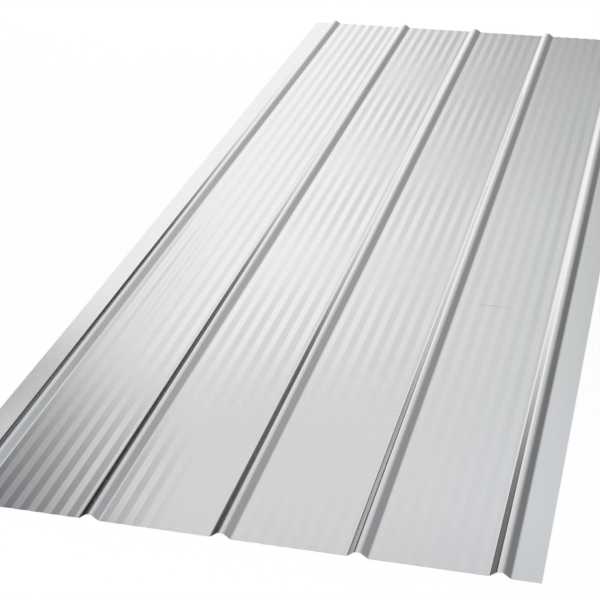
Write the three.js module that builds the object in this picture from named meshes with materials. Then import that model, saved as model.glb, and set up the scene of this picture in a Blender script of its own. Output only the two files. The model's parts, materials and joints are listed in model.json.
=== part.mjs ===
// A ribbed galvanised steel sheet: one thin sheet, roll-formed with low ribs along its
// whole length, which have sloping sides and a rounded crown, shallow flutes in the pans
// between the ribs, and a plain flat flange along each side for lapping and fixing.
//
// Millimetres, +Z up. The sheet lies flat with its ribs up and its length along Y. The
// origin is at the middle of its footprint, on the plane that its pans and flanges rest on.

import * as THREE from 'three';

// ---------------------------------------------------------------- driving dimensions

const sheetLength = 2440;
const sheetThickness = 0.45;

// Rib sizes are taken on the middle of the sheet's thickness, between sharp corners.
const ribCount = 5;
const ribPitch = 200;
const ribBaseWidth = 30;
const ribCrownWidth = 7;
const ribHeight = 9;
const crownBendRadius = 9;
const footBendRadius = 6;

// A flange runs from the foot of the outer rib to the sheet's cut edge.
const leftFlangeWidth = 38;
const rightFlangeWidth = 42;

// The flutes are shallow folds: even slopes up and down, with a soft bend at each turn.
const flutePitch = 25;
const fluteHeight = 1;
const foldBendRadius = 20;

// How finely each bend is divided.
const facetsPerBend = 4;

// Two bends on one straight piece of the section take at most this share of it each, so
// that some of it stays straight between them.
const longestTangentShare = 0.46;

const galvanisedColour = 0xc8cbcd;
const galvanisedRoughness = 0.35;
const galvanisedMetalness = 0.9;

// ---------------------------------------------------------------- worked out from them

const ribSpan = (ribCount - 1) * ribPitch;
const panWidth = ribPitch - ribBaseWidth;
const sheetWidth = leftFlangeWidth + ribSpan + ribBaseWidth + rightFlangeWidth;
const leftEdge = -sheetWidth / 2;
const firstRibCentre = leftEdge + leftFlangeWidth + ribBaseWidth / 2;

// ---------------------------------------------------------------- the section's middle line

// Height of a pan's middle line above its valleys, at a distance from its left edge. The
// folds start with a valley at the foot of the rib there, and the foot of the next rib
// cuts the last of them short.
function foldHeight(fromLeftFoot) {
  const phase = (fromLeftFoot / flutePitch) % 1;
  return fluteHeight * (1 - Math.abs(1 - 2 * phase));
}

// A corner of the middle line: a place, and the radius that its bend is rolled to.
function corner(x, z, bendRadius = 0) {
  return { point: new THREE.Vector2(x, z), bendRadius };
}

// The rib's two feet stand on the line that the sheet follows beside it: the pan's folds,
// or the flat of a flange at the sheet's two sides.
function ribCorners(centre, leftFootHeight, rightFootHeight) {
  return [
    corner(centre - ribBaseWidth / 2, leftFootHeight, footBendRadius),
    corner(centre - ribCrownWidth / 2, ribHeight, crownBendRadius),
    corner(centre + ribCrownWidth / 2, ribHeight, crownBendRadius),
    corner(centre + ribBaseWidth / 2, rightFootHeight, footBendRadius),
  ];
}

// The turns of the folds between two ribs, a crest and a valley by turns. The last one
// leaves the next rib's foot room for its bend.
function panCorners(leftFoot) {
  const foldWidth = flutePitch / 2;
  const corners = [];
  for (let turn = 1; turn * foldWidth < panWidth - footBendRadius; turn += 1) {
    const fromLeftFoot = turn * foldWidth;
    corners.push(corner(leftFoot + fromLeftFoot, foldHeight(fromLeftFoot), foldBendRadius));
  }
  return corners;
}

function sectionCorners() {
  const panRightHeight = foldHeight(panWidth);
  const corners = [corner(leftEdge, 0)];
  for (let rib = 0; rib < ribCount; rib += 1) {
    const centre = firstRibCentre + rib * ribPitch;
    corners.push(...ribCorners(centre, rib === 0 ? 0 : panRightHeight, 0));
    if (rib < ribCount - 1) {
      corners.push(...panCorners(centre + ribBaseWidth / 2));
    }
  }
  corners.push(corner(leftEdge + sheetWidth, 0));
  return corners;
}

// The arc that rounds a corner between its two neighbours. A bend that would run into the
// next one gets a smaller radius.
function bendPoints(before, { point, bendRadius }, after) {
  const toBefore = before.clone().sub(point);
  const toAfter = after.clone().sub(point);
  const shorterSide = Math.min(toBefore.length(), toAfter.length());
  const longestTangent = longestTangentShare * shorterSide;
  toBefore.normalize();
  toAfter.normalize();
  const turn = Math.PI - toBefore.angleTo(toAfter);
  const tangent = Math.min(bendRadius * Math.tan(turn / 2), longestTangent);
  const radius = tangent / Math.tan(turn / 2);
  const towardsCentre = toBefore.clone().add(toAfter).normalize();
  const arcCentre = point.clone().addScaledVector(towardsCentre, radius / Math.cos(turn / 2));
  const arcStart = point.clone().addScaledVector(toBefore, tangent);
  const turnsLeft = toAfter.cross(toBefore) > 0;
  const points = [];
  for (let facet = 0; facet <= facetsPerBend; facet += 1) {
    const angle = ((turnsLeft ? 1 : -1) * turn * facet) / facetsPerBend;
    points.push(arcStart.clone().rotateAround(arcCentre, angle));
  }
  return points;
}

function middleLine() {
  const corners = sectionCorners();
  return corners.flatMap((each, index) => {
    if (each.bendRadius === 0) {
      return [each.point];
    }
    return bendPoints(corners[index - 1].point, each, corners[index + 1].point);
  });
}

// ---------------------------------------------------------------- the sheet

// A line parallel to another, with mitred corners, so that the sheet between the two keeps
// its thickness on the flats, the flanks and round the bends.
function parallelLine(line, distance) {
  return line.map((point, index) => {
    const before = line[Math.max(index - 1, 0)];
    const after = line[Math.min(index + 1, line.length - 1)];
    const arriving = point.clone().sub(before).normalize();
    const leaving = after.clone().sub(point).normalize();
    const along = arriving.clone().add(leaving).normalize();
    const across = new THREE.Vector2(-along.y, along.x);
    // The two ends of the line have a piece of it on one side only.
    const straight = index > 0 ? arriving : leaving;
    return point.clone().addScaledVector(across, distance / along.dot(straight));
  });
}

// The section's outline: the under side from left to right, then the top side back again.
function sectionShape() {
  const line = middleLine();
  const underSide = parallelLine(line, -sheetThickness / 2);
  const topSide = parallelLine(line, sheetThickness / 2);
  return new THREE.Shape([...underSide, ...topSide.reverse()]);
}

function ribbedSheet() {
  const geometry = new THREE.ExtrudeGeometry(sectionShape(), {
    depth: sheetLength,
    steps: 1,
    bevelEnabled: false,
  });
  // Stand the section up in XZ and centre the length on the origin. The middle line's
  // flats lie at z = 0 so far, so the sheet is raised by half its thickness to rest there.
  geometry.rotateX(Math.PI / 2);
  geometry.translate(0, sheetLength / 2, sheetThickness / 2);
  const galvanisedSteel = new THREE.MeshStandardMaterial({
    color: galvanisedColour,
    roughness: galvanisedRoughness,
    metalness: galvanisedMetalness,
  });
  const mesh = new THREE.Mesh(geometry, galvanisedSteel);
  mesh.name = 'ribbed_sheet';
  return mesh;
}

const sheet = new THREE.Group();
sheet.add(ribbedSheet());

export default sheet;
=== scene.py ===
"""A ribbed galvanised steel sheet lying on a pale studio floor.

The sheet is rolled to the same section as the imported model, with finer bends in its ribs and
with flutes that run shallower and deeper along it. Lengths are in metres, with Z up and the
sheet's length along Y. The file is laid out as an add-on and is run as a script.
"""

import json
import math

import bpy
import numpy as np
from mathutils import Matrix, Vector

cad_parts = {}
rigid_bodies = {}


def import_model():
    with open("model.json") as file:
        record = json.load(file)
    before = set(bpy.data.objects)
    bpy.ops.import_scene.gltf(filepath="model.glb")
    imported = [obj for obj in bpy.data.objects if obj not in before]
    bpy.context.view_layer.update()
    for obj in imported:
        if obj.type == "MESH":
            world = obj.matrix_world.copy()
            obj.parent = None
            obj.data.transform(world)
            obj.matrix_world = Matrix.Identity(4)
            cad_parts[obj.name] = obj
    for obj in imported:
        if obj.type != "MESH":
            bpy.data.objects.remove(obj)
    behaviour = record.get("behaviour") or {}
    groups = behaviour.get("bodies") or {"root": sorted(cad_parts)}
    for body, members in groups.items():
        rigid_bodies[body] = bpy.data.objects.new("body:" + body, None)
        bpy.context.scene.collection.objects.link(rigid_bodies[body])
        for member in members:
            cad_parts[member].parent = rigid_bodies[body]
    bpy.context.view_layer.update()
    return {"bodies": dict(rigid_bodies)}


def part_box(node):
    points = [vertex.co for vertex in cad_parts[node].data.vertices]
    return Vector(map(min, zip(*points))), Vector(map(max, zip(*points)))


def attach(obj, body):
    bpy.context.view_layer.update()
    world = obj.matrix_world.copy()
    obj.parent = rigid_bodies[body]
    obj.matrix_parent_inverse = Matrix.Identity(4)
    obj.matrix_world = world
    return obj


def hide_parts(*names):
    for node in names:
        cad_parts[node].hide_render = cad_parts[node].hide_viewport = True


bl_info = {
    "name": "Ribbed Galvanised Sheet",
    "version": (1, 0, 0),
    "blender": (4, 5, 0),
    "location": "3D View > Sidebar > Ribbed Sheet",
    "description": "Rolls a ribbed galvanised steel sheet and sets a plain studio round it",
    "category": "Object",
}

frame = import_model()
SHEET_LOW, SHEET_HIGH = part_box("ribbed_sheet")
MM = 0.001


# ---------------------------------------------------------------- what a user would change


class SheetSizes(bpy.types.PropertyGroup):
    """Sizes of the sheet and its section, taken on the middle of its thickness."""

    length: bpy.props.FloatProperty(
        name="Length",
        description="Length of the sheet along its ribs",
        default=SHEET_HIGH[1] - SHEET_LOW[1],
        min=0.1,
        unit="LENGTH",
    )
    width: bpy.props.FloatProperty(
        name="Width",
        description="Width of the sheet between its two long edges",
        default=SHEET_HIGH[0] - SHEET_LOW[0],
        min=0.1,
        unit="LENGTH",
    )
    thickness: bpy.props.FloatProperty(
        name="Thickness",
        description="Thickness of the steel",
        default=0.45 * MM,
        min=0.1 * MM,
        precision=5,
        unit="LENGTH",
    )
    rib_pitch: bpy.props.FloatProperty(
        name="Rib pitch",
        description="Distance from the middle of one rib to the next",
        default=200 * MM,
        unit="LENGTH",
    )
    rib_base_width: bpy.props.FloatProperty(
        name="Rib base width",
        description="Distance between the sharp corners of a rib's two feet",
        default=30 * MM,
        unit="LENGTH",
    )
    rib_crown_width: bpy.props.FloatProperty(
        name="Rib crown width",
        description="Distance between the sharp corners that a rib's crown is rounded from",
        default=7 * MM,
        precision=4,
        unit="LENGTH",
    )
    rib_height: bpy.props.FloatProperty(
        name="Rib height",
        description="Height of a rib's crown above the pans",
        default=9 * MM,
        precision=4,
        unit="LENGTH",
    )
    crown_bend_radius: bpy.props.FloatProperty(
        name="Crown bend radius",
        description="Radius that the ribs' crowns are rolled to",
        default=9 * MM,
        precision=4,
        unit="LENGTH",
    )
    foot_bend_radius: bpy.props.FloatProperty(
        name="Foot bend radius",
        description="Radius that the ribs' feet are rolled to",
        default=6 * MM,
        precision=4,
        unit="LENGTH",
    )
    left_flange_width: bpy.props.FloatProperty(
        name="Left flange width",
        description="Width of the plain flange to the left of the first rib",
        default=38 * MM,
        unit="LENGTH",
    )
    flute_pitch: bpy.props.FloatProperty(
        name="Flute pitch",
        description="Distance from one flute's crest to the next",
        default=25 * MM,
        unit="LENGTH",
    )
    flute_height: bpy.props.FloatProperty(
        name="Flute height",
        description="Height of a flute's crest above its valleys where the rolls pressed fully",
        default=1 * MM,
        precision=4,
        unit="LENGTH",
    )
    fold_bend_radius: bpy.props.FloatProperty(
        name="Fold bend radius",
        description="Radius of the soft bend at each turn of the flutes",
        default=20 * MM,
        unit="LENGTH",
    )
    rib_count: bpy.props.IntProperty(
        name="Ribs",
        description="Number of ribs across the sheet",
        default=5,
        min=2,
        subtype="UNSIGNED",
    )


class SteelFinish(bpy.types.PropertyGroup):
    """How the zinc coating looks."""

    colour: bpy.props.FloatVectorProperty(
        name="Zinc colour",
        description="Colour of the bright zinc coating",
        default=(0.805, 0.81, 0.81),
        subtype="COLOR",
        min=0,
        max=1,
    )
    edge_colour: bpy.props.FloatVectorProperty(
        name="Cut edge colour",
        description="Colour of the bare steel where the sheet was sheared",
        default=(0.56, 0.57, 0.58),
        subtype="COLOR",
        min=0,
        max=1,
    )
    roughness: bpy.props.FloatProperty(
        name="Roughness",
        description="Roughness of the zinc between its marks",
        default=0.11,
        min=0,
        max=1,
        subtype="FACTOR",
    )


class StudioLook(bpy.types.PropertyGroup):
    """The floor, the tent of white cloth that lights the sheet, and the camera's lens."""

    floor_colour: bpy.props.FloatVectorProperty(
        name="Floor colour",
        description="Colour of the plain floor",
        default=(0.88, 0.88, 0.88),
        subtype="COLOR",
        min=0,
        max=1,
    )
    tent_radius: bpy.props.FloatProperty(
        name="Tent radius",
        description="Distance from the middle of the sheet to the lit cloth round it",
        default=4.5,
        unit="LENGTH",
    )
    lens: bpy.props.FloatProperty(
        name="Lens",
        description="Focal length of the camera, in millimetres",
        default=93.21,
        min=1,
        unit="CAMERA",
    )


# ---------------------------------------------------------------- shader expressions


# The Mix node's sockets for colours. It has more of the same names, for numbers and vectors.
MIX_AMOUNT, MIX_FIRST, MIX_SECOND, MIX_RESULT = 0, 6, 7, 2


class Signal:
    """A socket that can be used in Python expressions; each operator adds a Math node."""

    def __init__(self, shader, socket):
        self.shader = shader
        self.socket = socket

    def _math(self, operation, *values):
        return self.shader.node("Math", {"operation": operation}, values)

    def __add__(self, other):
        return self._math("ADD", self, other)

    def __radd__(self, other):
        return self._math("ADD", other, self)

    def __sub__(self, other):
        return self._math("SUBTRACT", self, other)

    def __rsub__(self, other):
        return self._math("SUBTRACT", other, self)

    def __mul__(self, other):
        return self._math("MULTIPLY", self, other)

    def __rmul__(self, other):
        return self._math("MULTIPLY", other, self)

    def __truediv__(self, other):
        return self._math("DIVIDE", self, other)

    def __rtruediv__(self, other):
        return self._math("DIVIDE", other, self)

    def __abs__(self):
        return self._math("ABSOLUTE", self)


class Shader:
    """A material's or a world's node tree, with one method that adds any node."""

    def __init__(self, owner):
        owner.use_nodes = True
        self.is_world = isinstance(owner, bpy.types.World)
        self.tree = owner.node_tree
        self.tree.nodes.clear()

    def node(self, kind, settings=None, values=(), output=0):
        """Adds a node, sets it up, then fills its sockets with values or links.

        Values are a list in the order of the sockets, or a dict of socket to value. An output
        node has no socket to give back.
        """
        node = self.tree.nodes.new("ShaderNode" + kind)
        settings = dict(settings or {})
        stops = settings.pop("stops", None)
        for name, setting in settings.items():
            setattr(node, name, setting)
        if stops:
            set_stops(node.color_ramp, stops)
        pairs = values.items() if isinstance(values, dict) else enumerate(values)
        for place, value in pairs:
            socket = node.inputs[place]
            if isinstance(value, Signal):
                self.tree.links.new(value.socket, socket)
            elif socket.type == "RGBA":
                socket.default_value = (*value[:3], 1)
            else:
                socket.default_value = value
        return Signal(self, node.outputs[output]) if node.outputs else None

    def vector(self, operation, *values, output=0):
        """A Vector Math node."""
        return self.node("VectorMath", {"operation": operation}, values, output)

    def noise(self, place, scale, detail):
        """Soft noise between 0 and 1, with about this many spots to a metre."""
        return self.node("TexNoise", values={"Vector": place, "Scale": scale, "Detail": detail})

    def smooth_step(self, value, start, end):
        """Goes smoothly from 0 to 1 as value goes from start to end."""
        settings = {"interpolation_type": "SMOOTHSTEP"}
        return self.node("MapRange", settings, [value, start, end, 0.0, 1.0])

    def blend(self, amount, first, second, how="MIX"):
        """A mix of two colours, or the first one filtered through the second with MULTIPLY."""
        settings = {"data_type": "RGBA", "blend_type": how}
        values = {MIX_AMOUNT: amount, MIX_FIRST: first, MIX_SECOND: second}
        return self.node("Mix", settings, values, MIX_RESULT)

    def finish(self, surface):
        """Ends the tree with this surface or background."""
        kind = "OutputWorld" if self.is_world else "OutputMaterial"
        self.node(kind, values={"Surface": surface})

    def finish_material(self, values):
        """Ends the tree with one Principled shader that has these values or links."""
        self.finish(self.node("BsdfPrincipled", values=values))


def set_stops(ramp, stops):
    """Gives a colour ramp its stops, each a place and a colour."""
    while len(ramp.elements) > 1:
        ramp.elements.remove(ramp.elements[-1])
    for number, (position, colour) in enumerate(stops):
        stop = ramp.elements[0] if number == 0 else ramp.elements.new(position)
        stop.position = position
        stop.color = (*colour, 1)


# ---------------------------------------------------------------- the section


# The ribs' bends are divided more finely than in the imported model. The sheet is divided along
# its length too, so that its flutes can fade and its flange can spring up.
RIB_BEND_FACETS = 6
FOLD_BEND_FACETS = 4
LENGTH_DIVISIONS = 84
# How deep the flutes of each pan are pressed at most, as a share of their height, at these
# places along the sheet as shares of half its length.
PRESSURE_PLACES = (-1, -0.7, -0.2, 1)
PAN_PRESSURES = (
    (0.45, 0.55, 1.4, 1.5),
    (0.1, 0.75, 1.45, 1.4),
    (0.3, 0.6, 1.0, 1.0),
    (0.15, 0.55, 0.65, 1.2),
)
# The rolls that pressed the two middle pans ran out of true, so their flutes fade and come back
# at every turn of the roll: its length round, a place where they are deepest, and the share of
# their depth that is left half a turn from there.
UNEVEN_PANS = (1, 2)
ROLL_TURN = 0.565
DEEPEST_AT = -0.03
SHALLOWEST = 0.24
# Two bends on one straight piece of the section take at most this share of it each.
LONGEST_TANGENT_SHARE = 0.46


def fold_height(sizes, from_left_foot):
    """Height of a pan above its valleys, as a share of the flutes' height."""
    phase = (from_left_foot / sizes.flute_pitch) % 1
    return 1 - abs(1 - 2 * phase)


def roll_pressure(sizes, pan, along):
    """How deep the flutes of a pan are pressed at places along the sheet."""
    deepest = np.interp(along * 2 / sizes.length, PRESSURE_PLACES, PAN_PRESSURES[pan])
    if pan not in UNEVEN_PANS:
        return deepest
    swing = (1 - SHALLOWEST) / 2
    wave = np.cos(2 * math.pi * (along - DEEPEST_AT) / ROLL_TURN)
    return deepest * (1 - swing + swing * wave)


def rounded(before, corner, after, radius, facets):
    """Points round a rolled bend, for all stations along the sheet at once.

    Places in the section are complex numbers, across the sheet + 1j * up.
    """
    arriving = (corner - before) / abs(corner - before)
    leaving = (after - corner) / abs(after - corner)
    turn = np.angle(leaving / arriving)
    slant = np.tan(abs(turn) / 2)
    shorter_side = np.minimum(abs(corner - before), abs(after - corner))
    tangent = np.minimum(radius * slant, LONGEST_TANGENT_SHARE * shorter_side)
    to_centre = 1j * np.sign(turn) * arriving * tangent / slant
    centre = corner - arriving * tangent + to_centre
    return [centre - to_centre * np.exp(1j * turn * step / facets) for step in range(facets + 1)]


def section_corners(sizes, along):
    """The section's sharp corners from left to right, each with its bend's radius and facets."""
    left_edge = -sizes.width / 2
    first_rib = left_edge + sizes.left_flange_width + sizes.rib_base_width / 2
    pan_width = sizes.rib_pitch - sizes.rib_base_width
    half_base, half_crown = sizes.rib_base_width / 2, sizes.rib_crown_width / 2
    foot_radius, crown_radius = sizes.foot_bend_radius, sizes.crown_bend_radius
    fold_width = sizes.flute_pitch / 2
    turns = math.ceil((pan_width - foot_radius) / fold_width)
    level = np.zeros_like(along)
    corners = [(left_edge + 1j * level, 0, 0)]
    left_foot_height = level
    for rib in range(sizes.rib_count):
        centre = first_rib + rib * sizes.rib_pitch
        crown = centre + 1j * (sizes.rib_height + level)
        corners += [
            (centre - half_base + 1j * left_foot_height, foot_radius, RIB_BEND_FACETS),
            (crown - half_crown, crown_radius, RIB_BEND_FACETS),
            (crown + half_crown, crown_radius, RIB_BEND_FACETS),
            (centre + half_base + 1j * level, foot_radius, RIB_BEND_FACETS),
        ]
        if rib == sizes.rib_count - 1:
            break
        depth = sizes.flute_height * roll_pressure(sizes, rib, along)
        for turn in range(1, turns):
            from_foot = turn * fold_width
            place = centre + half_base + from_foot + 1j * depth * fold_height(sizes, from_foot)
            corners.append((place, sizes.fold_bend_radius, FOLD_BEND_FACETS))
        left_foot_height = depth * fold_height(sizes, pan_width)
    corners.append((sizes.width / 2 + 1j * level, 0, 0))
    return corners


def middle_line(sizes, along):
    """The middle of the sheet's thickness as a grid: stations along by points across."""
    corners = section_corners(sizes, along)
    columns = []
    for number, (corner, radius, facets) in enumerate(corners):
        if radius == 0:
            columns.append(corner)
            continue
        before, after = corners[number - 1][0], corners[number + 1][0]
        columns += rounded(before, corner, after, radius, facets)
    return np.stack(columns, axis=1)


def parallel_line(line, distance):
    """The line beside another with mitred corners, so that the sheet keeps its thickness."""
    steps = np.diff(line, axis=1)
    steps /= abs(steps)
    arriving = np.concatenate([steps[:, :1], steps], axis=1)
    leaving = np.concatenate([steps, steps[:, -1:]], axis=1)
    along = arriving + leaving
    along /= abs(along)
    mitre = (along * arriving.conj()).real
    return line + 1j * along * distance / mitre


# ---------------------------------------------------------------- the sheet's mesh


# Folds of more than this many degrees are shaded as sharp. Only the cut edges have such.
SHARP_ANGLE = 60
# How much more a large face counts than a small one in the shading of its corners.
LARGE_FACE_WEIGHT = 80
# In the map, the gap round each face and cut edge, and the width of a cut edge.
MAP_MARGIN = 0.008
MAP_EDGE_WIDTH = 0.006
# The material slots of the sheet's faces and of its cut edges.
ZINC_SLOT = 0
CUT_EDGE_SLOT = 1


def pan_swell(sizes, across, along):
    """How far the pans stand off the floor between their ribs.

    Thin sheet never lies quite flat, and each pan rises and sinks in waves of its own.
    """
    highest = 0.18 * MM
    left_foot = -sizes.width / 2 + sizes.left_flange_width + sizes.rib_base_width
    pan_width = sizes.rib_pitch - sizes.rib_base_width
    pan = np.floor((across - left_foot) / sizes.rib_pitch)
    share = (across - left_foot - pan * sizes.rib_pitch) / pan_width
    in_pan = (share > 0) & (share < 1) & (pan >= 0) & (pan < sizes.rib_count - 1)
    arch = np.where(in_pan, np.sin(math.pi * share) ** 2, 0)
    wave_length, shift = 0.71 + 0.13 * pan, 2.1 * pan
    wave = 0.5 + 0.5 * np.sin(2 * math.pi * along / wave_length + shift)
    return highest * arch * wave


def flange_spring(sizes, across, along):
    """How far the left flange's free edge springs up towards the sheet's near end."""
    highest, length, steepness = 6.5 * MM, 0.9, 1.5
    out = np.clip(1 - (across + sizes.width / 2) / sizes.left_flange_width, 0, 1)
    near = np.clip((length - along - sizes.length / 2) / length, 0, 1)
    return highest * out * near**steepness


def quads(grid):
    """The corners of each quad of a grid, facing up where rows run along and columns across."""
    corners = (grid[:-1, :-1], grid[:-1, 1:], grid[1:, 1:], grid[1:, :-1])
    return np.stack(corners, axis=2).reshape(-1, 4, *grid.shape[2:])


def map_grid(u, v):
    """Map coordinates for a grid of quads."""
    return np.stack(np.broadcast_arrays(u, v), axis=-1)


def sheet_strips(sizes, along, line, top, underside):
    """The faces and cut edges, each a grid of vertex numbers, its map and its material's slot.

    In the map the two faces lie unrolled side by side, and the four cut edges stand beside
    them, wider than they are so that they hold some detail.
    """
    margin, edge_width = MAP_MARGIN, MAP_EDGE_WIDTH
    from_near_end = along - along[0]
    unrolled = np.concatenate([[0], np.cumsum(abs(np.diff(line[0])))])
    girth = unrolled[-1]
    # Across the map, two faces and four edges have seven gaps. Along it there are two.
    u_scale = (1 - 7 * margin - 4 * edge_width) / (2 * girth)
    v_scale = (1 - 2 * margin) / sizes.length
    v = margin + from_near_end[:, None] * v_scale
    top_u = margin + unrolled * u_scale
    underside_u = top_u[-1] + margin + (girth - unrolled[::-1]) * u_scale
    strips = [
        (top, map_grid(top_u, v), ZINC_SLOT),
        (underside[:, ::-1], map_grid(underside_u, v), ZINC_SLOT),
    ]
    edges = (
        (top[:, 0], underside[:, 0], from_near_end),
        (underside[:, -1], top[:, -1], from_near_end),
        (underside[0], top[0], unrolled),
        (top[-1], underside[-1], unrolled),
    )
    for number, (first, second, distance) in enumerate(edges):
        u = underside_u[-1] + margin + number * (edge_width + margin)
        edge_u = np.array([[u + edge_width], [u]])
        edge_map = map_grid(edge_u, margin + distance * v_scale)
        strips.append((np.stack([first, second]), edge_map, CUT_EDGE_SLOT))
    return strips


def sheet_mesh(sizes):
    """The closed mesh of the sheet: its top, its underside and four thin cut edges."""
    along = np.linspace(-sizes.length / 2, sizes.length / 2, LENGTH_DIVISIONS + 1)
    line = middle_line(sizes, along)
    half = sizes.thickness / 2
    sides = np.stack([parallel_line(line, half), parallel_line(line, -half)])
    vertices = np.empty((*sides.shape, 3))
    vertices[..., 0] = sides.real
    vertices[..., 1] = along[:, None]
    lift = pan_swell(sizes, line.real, along[:, None])
    lift = lift + flange_spring(sizes, line.real, along[:, None])
    vertices[..., 2] = sides.imag + half + lift
    top, underside = np.arange(sides.size).reshape(sides.shape)

    grids, maps, slots = zip(*sheet_strips(sizes, along, line, top, underside))
    faces = [quads(grid) for grid in grids]
    mesh = bpy.data.meshes.new("ribbed_galvanised_sheet")
    mesh.from_pydata(vertices.reshape(-1, 3), [], np.concatenate(faces))
    bake_map = mesh.uv_layers.new(name="OFBake")
    corners = np.concatenate([quads(each) for each in maps])
    bake_map.uv.foreach_set("vector", corners.astype(np.float32).ravel())
    slots = np.repeat(slots, [len(quad) for quad in faces])
    mesh.polygons.foreach_set("material_index", slots.astype(np.int32))
    mesh.shade_smooth()
    mesh.set_sharp_from_angle(angle=math.radians(SHARP_ANGLE))
    mesh.validate()
    return mesh


# ---------------------------------------------------------------- materials


BLACK = (0, 0, 0)

# Sizes of the marks in the zinc: its frozen crystals, the soft clouds in its tone, and the fine
# lines that the rolls left along the sheet.
CRYSTAL_SIZE = 0.006
CLOUD_SIZE = 0.2
ROLL_LINE_SIZE = (0.0016, 0.4, 0.0016)
# The zinc's darkest and brightest tones, as shares of its colour.
DARKEST_ZINC = 0.95
BRIGHTEST_ZINC = 1.03
# How high the marks stand in the surface, in metres.
ROLL_LINE_HEIGHT = 1.5e-6
CLOUD_HEIGHT = 4e-6

# Fine scuffs from handling: where the middle of each lies across and along the sheet, its
# length, and its heading in degrees.
SCUFFS = (
    (0.278, -0.418, 0.068, -2),
    (0.427, -0.124, 0.026, -3),
)
SCUFF_WIDTH = 2.2 * MM
SCUFF_COLOUR = (0.5, 0.5, 0.5)
SCUFF_ROUGHNESS = 0.15

# The cut edge: its spots of grain to a metre, its darkest tone as a share of its colour, its
# least roughness, and how much the grain adds to that.
EDGE_GRAINS = 900.0
DARKEST_EDGE = 0.8
LEAST_EDGE_ROUGHNESS = 0.35
EDGE_GRAIN_ROUGHNESS = 0.2


def scuff_marks(shader, place):
    """1 on the scuffs and 0 off them, with soft sides and ends."""
    scuffs = 0.0
    for across, along, length, heading in SCUFFS:
        from_middle = shader.vector("SUBTRACT", place, (across, along, 0))
        turned = shader.node(
            "VectorRotate",
            {"rotation_type": "Z_AXIS"},
            {"Vector": from_middle, "Angle": -math.radians(heading)},
        )
        lengthways, crossways = (
            abs(shader.node("SeparateXYZ", values=[turned], output=axis)) for axis in range(2)
        )
        fine = shader.smooth_step(crossways, SCUFF_WIDTH / 2, 0)
        scuffs = fine * shader.smooth_step(lengthways, length / 2, length / 4) + scuffs
    return scuffs


def galvanised_steel(finish):
    """Bright zinc with faint frozen crystals, soft clouds and fine lines along the sheet."""
    material = bpy.data.materials.new("galvanised steel")
    shader = Shader(material)
    place = shader.node("TexCoord", output="Object")
    crystal = shader.node(
        "TexVoronoi", values={"Vector": place, "Scale": 1 / CRYSTAL_SIZE}, output="Color"
    )
    crystal = shader.node("SeparateColor", values=[crystal])
    cloud = shader.noise(place, 1 / CLOUD_SIZE, detail=4.0)
    along_rolls = shader.vector("MULTIPLY", place, tuple(1 / size for size in ROLL_LINE_SIZE))
    roll_line = shader.noise(along_rolls, scale=1.0, detail=2.0)
    scuffs = scuff_marks(shader, place)

    # Each mark with its share of the tone and how far it swings the roughness.
    marks = ((crystal, 0.3, 0.03), (cloud, 0.5, 0.04), (roll_line, 0.2, 0.03))
    tone = sum(mark * share for mark, share, _ in marks)
    dark = tuple(part * DARKEST_ZINC for part in finish.colour)
    bright = tuple(min(part * BRIGHTEST_ZINC, 1) for part in finish.colour)
    colour = shader.blend(tone, dark, bright)
    colour = shader.blend(scuffs, colour, SCUFF_COLOUR)
    roughness = sum((mark - 0.5) * swing for mark, _, swing in marks)
    roughness = roughness + scuffs * SCUFF_ROUGHNESS
    relief = roll_line * ROLL_LINE_HEIGHT + cloud * CLOUD_HEIGHT
    bump = shader.node("Bump", values={"Strength": 1.0, "Distance": 1.0, "Height": relief})
    steel = {
        "Base Color": colour,
        "Metallic": 1.0,
        "Roughness": roughness + finish.roughness,
        "Normal": bump,
    }
    shader.finish_material(steel)
    return material


def cut_edge(finish):
    """Bare sheared steel: duller than the zinc, with a fine grain."""
    material = bpy.data.materials.new("cut steel edge")
    shader = Shader(material)
    place = shader.node("TexCoord", output="Object")
    grain = shader.noise(place, EDGE_GRAINS, detail=3.0)
    dark = tuple(part * DARKEST_EDGE for part in finish.edge_colour)
    steel = {
        "Base Color": shader.blend(grain, dark, tuple(finish.edge_colour)),
        "Metallic": 1.0,
        "Roughness": grain * EDGE_GRAIN_ROUGHNESS + LEAST_EDGE_ROUGHNESS,
    }
    shader.finish_material(steel)
    return material


# The tent lights the floor best at one place by the sheet's near end, so the rest glows more:
# how brightly at two distances from there.
BEST_LIT = (0, -1.5, 0)
GLOW_DISTANCES = (0.5, 4)
GLOWS = (0.485, 0.57)


def pale_floor(look):
    """A plain matt floor, which shows white to the camera and in the steel."""
    material = bpy.data.materials.new("pale floor")
    shader = Shader(material)
    camera = shader.node("LightPath", output="Is Camera Ray")
    glossy = shader.node("LightPath", output="Is Glossy Ray")
    through = shader.node("LightPath", output="Is Transmission Ray")
    seen = camera + glossy + through
    place = shader.node("TexCoord", output="Object")
    away = shader.vector("DISTANCE", place, BEST_LIT, output="Value")
    dimmer = shader.smooth_step(away, *GLOW_DISTANCES)
    near_glow, far_glow = ((level,) * 3 for level in GLOWS)
    white = shader.blend(dimmer, near_glow, far_glow)
    floor = {
        "Base Color": tuple(look.floor_colour),
        "Roughness": 1.0,
        "Specular IOR Level": 0.0,
        "Emission Color": shader.blend(seen, BLACK, white),
        "Emission Strength": 1.0,
    }
    shader.finish_material(floor)
    return material


# How bright the tent's cloth is at each elevation, and its tint.
CLOTH_LEVELS = (
    (-3, 0.0),
    (6, 0.41),
    (12, 0.52),
    (18, 0.645),
    (24, 0.76),
    (30, 0.775),
    (42, 0.81),
    (54, 0.66),
    (90, 0.8),
)
CLOTH_TINT = (1.003, 1.0, 0.978)
# The colours that hang in the tent, and the gels that tint its light on the right and above.
BLUE_BLACK = (0, 0.01, 0.032)
WINDOW_WHITE = (1.053, 1.05, 1.03)
RIGHT_GEL = (0.978, 1.0, 1.05)
UPPER_GEL = (1.0, 1.0, 1.02)
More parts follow.
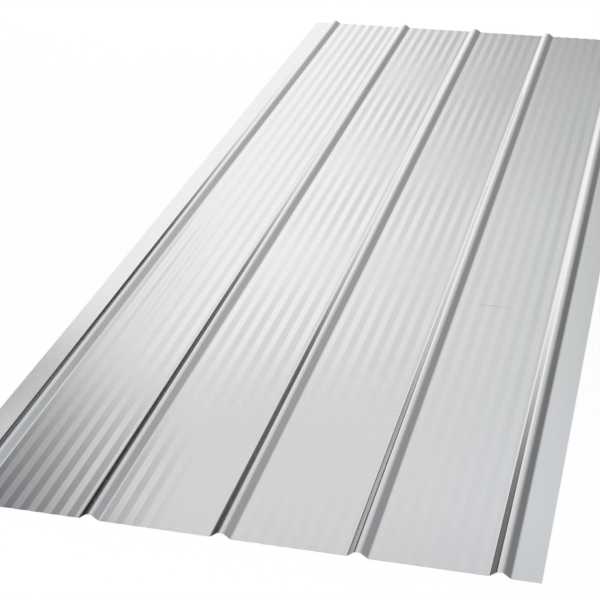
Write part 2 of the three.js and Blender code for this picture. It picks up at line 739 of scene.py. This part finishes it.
# Elevation at which a leaning edge of a panel has the second of its two bearings.
LEANING_TOP = 40
# Elevations just above a window's soft top and just below it.
WINDOW_TOP = (38, 26)


def tent_cloth(look):
    """Lit white cloth, dim near the floor, with windows and dark panels hung in front of it.

    Directions are in degrees as seen from the middle of the sheet: bearing from the sheet's
    far end, to the right, and elevation above the floor.
    """
    material = bpy.data.materials.new("tent cloth")
    shader = Shader(material)
    place = shader.node("TexCoord", output="Object")
    x, y, z = (shader.node("SeparateXYZ", values=[place], output=axis) for axis in range(3))
    bearing = shader.node("Math", {"operation": "ARCTAN2"}, [x, y]) * math.degrees(1)
    height = shader.node("Math", {"operation": "ARCSINE"}, [z / look.tent_radius])
    elevation = height * math.degrees(1)

    def upright_edge(outside, inside):
        """0 outside a panel's soft upright edge and 1 inside it.

        Each side of the softness is a bearing at the floor and one at the leaning top.
        """
        sides = [
            (top - foot) / LEANING_TOP * elevation + foot for foot, top in (outside, inside)
        ]
        return shader.smooth_step(bearing, *sides)

    def level_edge(outside, inside):
        """0 outside a panel's soft level edge and 1 inside it, given as two elevations."""
        return shader.smooth_step(elevation, outside, inside)

    def window(left_outside, left_inside, right_inside, right_outside):
        """A soft-edged window that stands on the floor, given by its upright edges."""
        left = upright_edge(left_outside, left_inside)
        return left * upright_edge(right_outside, right_inside) * level_edge(*WINDOW_TOP)

    lowest, highest = CLOTH_LEVELS[0][0], CLOTH_LEVELS[-1][0]
    stops = [
        ((at - lowest) / (highest - lowest), tuple(level * part for part in CLOTH_TINT))
        for at, level in CLOTH_LEVELS
    ]
    share = (elevation - lowest) / (highest - lowest)
    light = shader.node("ValToRGB", {"stops": stops}, [share])
    right_of_middle = upright_edge((-22, -22), (10, 10))
    light = shader.blend(right_of_middle, light, RIGHT_GEL, "MULTIPLY")
    light = shader.blend(level_edge(32, 44), light, UPPER_GEL, "MULTIPLY")

    # On the left two dark flags, a wide one and a low one that is narrower.
    flags_left_edge = upright_edge((-80, -80), (-62, -62))
    flag = flags_left_edge * upright_edge((-29, -29), (-67, -55)) * level_edge(85, 55)
    low_flag = flags_left_edge * upright_edge((-27, -27), (-38, -38))
    low_flag = low_flag * level_edge(30, 12) * level_edge(3.4, 8.6)
    # On the right a grey card that leans over, a low card, a thin strip of cloth between them
    # and the far window, and the tent's slow fall into shade.
    right_edge = upright_edge((140, 140), (100, 100))
    card = upright_edge((-9, 21), (-1, 29)) * right_edge * level_edge(44, 32)
    low_card = upright_edge((15, 15), (45, 45)) * right_edge * level_edge(18, 3)
    strip = upright_edge((1, 1), (5, 5)) * upright_edge((18, 18), (8, 8))
    strip = strip * level_edge(46, 28) * level_edge(15, 21)
    shade = upright_edge((-14, -14), (80, 80)) * right_edge
    # Above the far window and to its left, a thin scrim.
    scrim = level_edge(28, 36) * upright_edge((-8, -29.5), (-16, -35.5))
    far_window = window((-38, -41), (-20, -32), (-13, -25), (1, -2))
    right_window = window((95, 95), (120, 120), (130, 130), (160, 160))
    left_window = window((-165, -165), (-140, -140), (-120, -120), (-95, -95))

    # Each is hung in front of those before it, and hides this share of them.
    for panel, opacity, colour in (
        (flag, 1.0, BLUE_BLACK),
        (card, 0.24, BLACK),
        (shade, 0.54, BLACK),
        (strip, 0.13, BLACK),
        (low_card, 0.75, BLACK),
        (scrim, 0.3, BLUE_BLACK),
        (far_window, 1.0, WINDOW_WHITE),
        (low_flag, 0.95, BLACK),
        (right_window, 1.0, WINDOW_WHITE),
        (left_window, 1.0, WINDOW_WHITE),
    ):
        light = shader.blend(panel * opacity, light, colour)
    shader.finish(shader.node("Emission", values={"Color": light, "Strength": 1.0}))
    return material


# ---------------------------------------------------------------- pieces and stage


def new_object(name, mesh, materials):
    """An object at the origin with its materials, linked to the scene."""
    for material in materials:
        mesh.materials.append(material)
    item = bpy.data.objects.new(name, mesh)
    bpy.context.scene.collection.objects.link(item)
    return item


class RollSheet(bpy.types.Operator):
    """Rolls the ribbed sheet and coats it with zinc"""

    bl_idname = "ribbed_sheet.roll_sheet"
    bl_label = "Roll Sheet"

    def execute(self, context):
        sizes = context.scene.sheet_sizes
        finish = context.scene.steel_finish
        mesh = sheet_mesh(sizes)
        materials = (galvanised_steel(finish), cut_edge(finish))
        sheet = new_object("galvanised_sheet", mesh, materials)
        normals = sheet.modifiers.new("Flats stay flat", "WEIGHTED_NORMAL")
        normals.mode = "FACE_AREA"
        normals.weight = LARGE_FACE_WEIGHT
        normals.keep_sharp = True
        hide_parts("ribbed_sheet")
        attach(sheet, next(iter(frame["bodies"])))
        return {"FINISHED"}


def floor_mesh():
    """A wide disc just under the sheet."""
    radius, sides, below = 60.0, 64, 0.2 * MM
    turns = np.linspace(0, 2 * math.pi, sides, endpoint=False)
    level = np.full(sides, -below)
    rim = np.stack([radius * np.cos(turns), radius * np.sin(turns), level], axis=1)
    mesh = bpy.data.meshes.new("floor")
    mesh.from_pydata(rim, [], [range(sides)])
    return mesh


def tent_mesh(look):
    """The upper half of a sphere, with its foot a little below the floor."""
    rings, sides = 24, 96
    foot, top = -2.0, 89.5
    heights = np.radians(np.linspace(foot, top, rings))[:, None]
    turns = np.linspace(0, 2 * math.pi, sides + 1)
    out = np.cos(heights)
    places = (out * np.cos(turns), out * np.sin(turns), np.sin(heights))
    places = np.stack(np.broadcast_arrays(*places), axis=-1)
    numbers = np.arange(rings * (sides + 1)).reshape(rings, sides + 1)
    numbers[:, -1] = numbers[:, 0]
    mesh = bpy.data.meshes.new("light tent")
    faces = [*quads(numbers), tuple(numbers[-1, :-1])]
    mesh.from_pydata(places.reshape(-1, 3) * look.tent_radius, [], faces)
    return mesh


def add_camera(look):
    """The camera, looking down along the sheet from its near end."""
    place = (0.5731, -2.9508, 1.3113)
    heading, tilt, roll = (math.radians(angle) for angle in (14.651, 62.902, -0.844))
    data = bpy.data.cameras.new("camera")
    data.lens = look.lens
    data.sensor_width = 36
    # Far enough for the floor's whole width.
    data.clip_start, data.clip_end = 0.05, 200
    camera = bpy.data.objects.new("camera", data)
    turn = Matrix.Rotation(heading, 4, "Z") @ Matrix.Rotation(tilt, 4, "X")
    turn @= Matrix.Rotation(roll, 4, "Z")
    camera.matrix_world = Matrix.Translation(place) @ turn
    scene = bpy.context.scene
    scene.collection.objects.link(camera)
    scene.camera = camera


class SetStage(bpy.types.Operator):
    """Sets the floor, the light tent, the plain white surroundings and the camera"""

    bl_idname = "ribbed_sheet.set_stage"
    bl_label = "Set Stage"

    def execute(self, context):
        look = context.scene.studio_look
        floor = new_object("floor", floor_mesh(), [pale_floor(look)])
        tent = new_object("light_tent", tent_mesh(look), [tent_cloth(look)])
        tent.visible_camera = False
        world = bpy.data.worlds.new("white surroundings")
        context.scene.world = world
        shader = Shader(world)
        shader.finish(shader.node("Background", values={"Color": (1, 1, 1), "Strength": 1.0}))
        add_camera(look)
        context.scene.view_settings.view_transform = "Standard"
        return {"FINISHED"}


class RibbedSheetPanel(bpy.types.Panel):
    """The sheet's sizes, finish and stage in the sidebar"""

    bl_idname = "VIEW3D_PT_ribbed_sheet"
    bl_label = "Ribbed Sheet"
    bl_space_type = "VIEW_3D"
    bl_region_type = "UI"
    bl_category = "Ribbed Sheet"

    def draw(self, context):
        scene = context.scene
        for group, operator in (
            (scene.sheet_sizes, RollSheet),
            (scene.steel_finish, None),
            (scene.studio_look, SetStage),
        ):
            box = self.layout.box()
            for name in group.__annotations__:
                box.prop(group, name)
            if operator:
                box.operator(operator.bl_idname)


CLASSES = (SheetSizes, SteelFinish, StudioLook, RollSheet, SetStage, RibbedSheetPanel)
SETTINGS = {
    "sheet_sizes": SheetSizes,
    "steel_finish": SteelFinish,
    "studio_look": StudioLook,
}


def register():
    for each in CLASSES:
        bpy.utils.register_class(each)
    for name, group in SETTINGS.items():
        setattr(bpy.types.Scene, name, bpy.props.PointerProperty(type=group))


def unregister():
    for name in SETTINGS:
        delattr(bpy.types.Scene, name)
    for each in reversed(CLASSES):
        bpy.utils.unregister_class(each)


def main():
    register()
    bpy.ops.ribbed_sheet.roll_sheet()
    bpy.ops.ribbed_sheet.set_stage()


if __name__ == "__main__":
    main()
